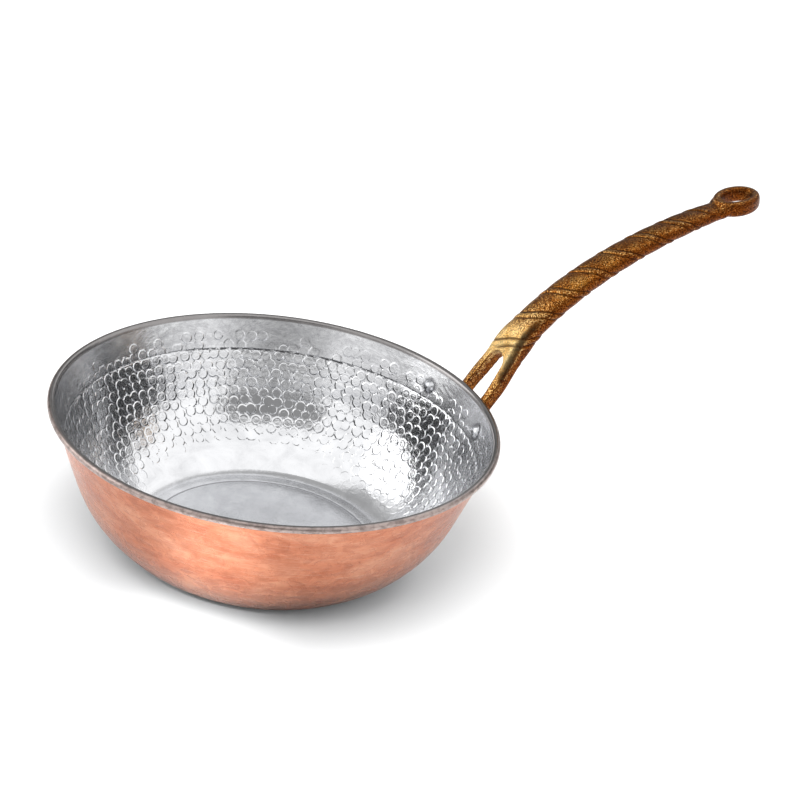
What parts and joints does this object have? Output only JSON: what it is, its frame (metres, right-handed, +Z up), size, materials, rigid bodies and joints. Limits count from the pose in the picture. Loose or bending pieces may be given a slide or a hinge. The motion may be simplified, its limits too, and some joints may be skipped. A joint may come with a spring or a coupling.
{
  "type": "saucepan",
  "caption": "Hammered copper saucepan with a flared tinned bowl, a wired rim and a curved cast brass handle with a forked root and a hanging eye.",
  "frame": {"origin": "centre of the flat base, on the surface that the pan stands on", "axes": "+Z up out of the bowl, +X from the bowl's centre towards the handle"},
  "size_m": [0.4799, 0.281, 0.2197],
  "materials": {
    "copper": "satin hammered copper",
    "tin": "bright hammered tin plating",
    "wire": "plain steel wire",
    "antique_brass": "cast brass with brown patina",
    "tinned_rivet": "tinned copper"
  },
  "bodies": {
    "root": {"bowl_shell": "copper", "tin_lining": "tin", "rim_wire": "wire", "handle": "antique_brass", "rivet_left": "tinned_rivet", "rivet_right": "tinned_rivet"}
  },
  "joints": []
}
